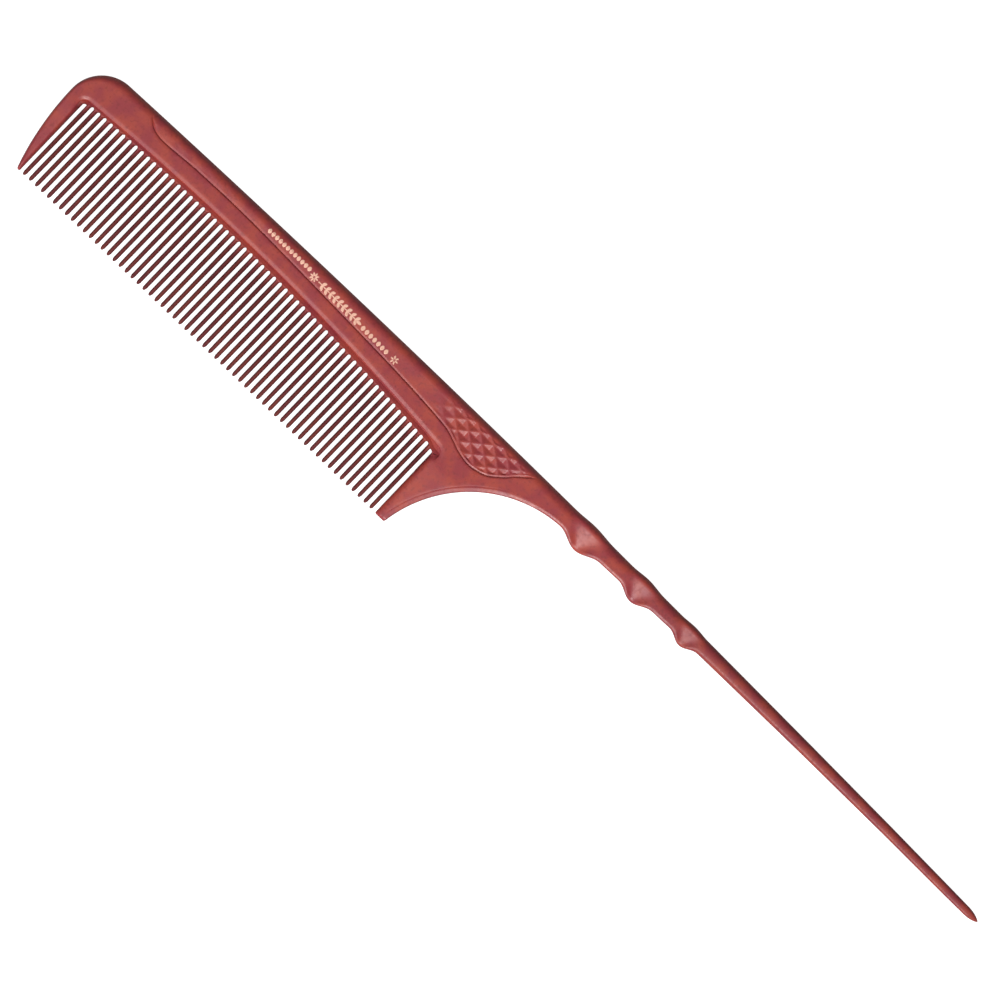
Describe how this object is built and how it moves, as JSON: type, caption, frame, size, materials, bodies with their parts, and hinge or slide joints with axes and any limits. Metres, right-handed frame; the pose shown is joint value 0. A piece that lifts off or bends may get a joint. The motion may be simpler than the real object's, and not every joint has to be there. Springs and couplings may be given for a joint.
{
  "type": "rat tail comb",
  "caption": "Slim hair comb with a row of fine teeth between two broad guard teeth, a diamond-knurled neck, finger rests and a long pointed tail for sectioning.",
  "frame": {"origin": "middle of the bounding box, on the flat face that the comb lies on", "axes": "+X from the nose of the comb to the tip of the tail, teeth point to -Y, +Z through the thickness"},
  "size_m": [0.23, 0.0268, 0.004],
  "materials": {
    "comb_plastic": "satin moulded, faintly mottled brick red",
    "foil": "pale gold hot foil, slightly worn"
  },
  "bodies": {
    "root": {"back_spine": "comb_plastic", "tooth_web": "comb_plastic", "fine_teeth": "comb_plastic", "nose_guard_tooth": "comb_plastic", "heel_guard_tooth": "comb_plastic", "neck": "comb_plastic", "grip_knurl_front": "comb_plastic", "grip_knurl_back": "comb_plastic", "finger_rest_front": "comb_plastic", "finger_rest_middle": "comb_plastic", "finger_rest_rear": "comb_plastic", "tail_shaft": "comb_plastic", "tail_tip": "comb_plastic", "foil_mark": "foil"}
  },
  "joints": []
}
